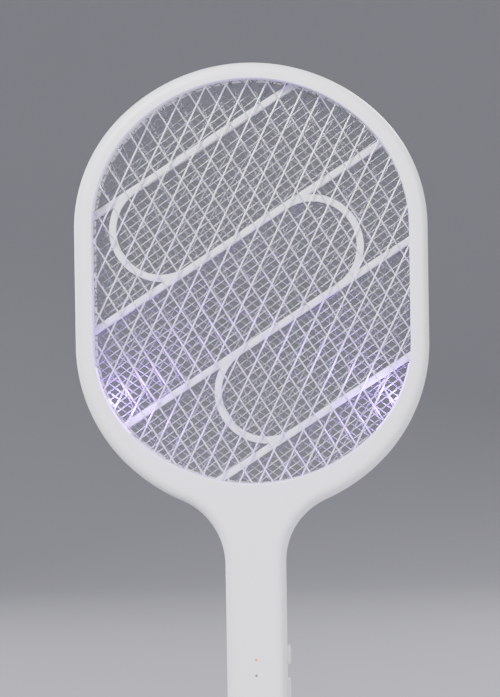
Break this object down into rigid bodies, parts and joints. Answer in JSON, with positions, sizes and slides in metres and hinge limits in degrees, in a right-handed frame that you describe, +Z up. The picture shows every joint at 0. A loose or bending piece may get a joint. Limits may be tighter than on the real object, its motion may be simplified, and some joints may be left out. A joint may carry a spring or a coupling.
{
  "type": "electric fly swatter",
  "caption": "Racket-shaped electric fly swatter: three stacked wire nets in an oval ring, a flared neck, lamps in the ring, and a straight handle with a slide switch and a push trigger.",
  "frame": {"origin": "middle of the flat end of the handle", "axes": "+Z runs up the swatter from the end of the handle to the top of the head, the front with the indicator lights faces -Y, the switches are on +X"},
  "size_m": [0.21, 0.0281, 0.49],
  "materials": {
    "shell_plastic": "satin white moulded plastic",
    "rib_plastic": "off-white moulded plastic",
    "control_plastic": "satin white plastic",
    "net_wire": "bright drawn steel wire",
    "circuit_board": "green solder mask",
    "lamp_led": "white ceramic package with violet lens",
    "lamp_window": "clear violet lit window",
    "ferrite": "dark sintered ferrite",
    "winding": "yellow winding tape",
    "capacitor_case": "red epoxy case",
    "black_component": "black moulded epoxy",
    "resistor_body": "lacquered resistor body",
    "indicator_led": "clear red lens",
    "light_pipe": "translucent moulded plastic",
    "steel": "nickel plated steel",
    "screw_steel": "zinc plated steel",
    "cell_wrap": "blue shrink wrap",
    "terminal_brass": "plain brass",
    "red_lead": "red wire insulation",
    "black_lead": "black wire insulation",
    "violet_lead": "violet wire insulation",
    "orange_lead": "orange wire insulation"
  },
  "bodies": {
    "swatter": {"front_shell": "shell_plastic", "rear_shell": "shell_plastic", "front_chassis": "rib_plastic", "rear_chassis": "rib_plastic", "front_net": "net_wire", "hv_net": "net_wire", "rear_net": "net_wire", "front_rib_frame": "rib_plastic", "rear_rib_frame": "rib_plastic", "left_lamp_board": "circuit_board", "right_lamp_board": "circuit_board", "left_lamp_leds": "lamp_led", "right_lamp_leds": "lamp_led", "left_lamp_window": "lamp_window", "right_lamp_window": "lamp_window", "main_board": "circuit_board", "transformer_core": "ferrite", "transformer_winding": "winding", "hv_capacitors": "capacitor_case", "hv_diodes": "black_component", "bleed_resistor": "resistor_body", "switching_transistor": "black_component", "controller_chip": "black_component", "indicator_leds": "indicator_led", "indicator_pipes": "light_pipe", "mode_switch_body": "steel", "trigger_switch": "steel", "trigger_plunger": "black_component", "trigger_spring": "steel", "battery_cell": "cell_wrap", "battery_tabs": "steel", "charge_board": "circuit_board", "charge_socket": "steel", "shell_screws": "screw_steel", "hv_terminal": "terminal_brass", "ground_terminals": "terminal_brass", "hv_lead": "red_lead", "ground_lead": "black_lead", "left_lamp_lead": "violet_lead", "right_lamp_lead": "violet_lead", "battery_positive_lead": "red_lead", "battery_negative_lead": "black_lead", "charge_leads": "orange_lead"},
    "mode_slider": {"mode_switch_knob": "control_plastic", "mode_switch_lever": "black_component"},
    "trigger": {"trigger_button": "control_plastic"}
  },
  "joints": [
    {"name": "mode_slide", "type": "slide", "parent": "swatter", "child": "mode_slider", "axis": [0, 0, 1], "range_m": [0, 0.004]},
    {"name": "trigger_press", "type": "slide", "parent": "swatter", "child": "trigger", "axis": [-1, 0, 0], "range_m": [0, 0.0012], "stiffness_N_per_m": 600, "springref_m": -0.0012, "deforming": ["trigger_spring"]}
  ]
}
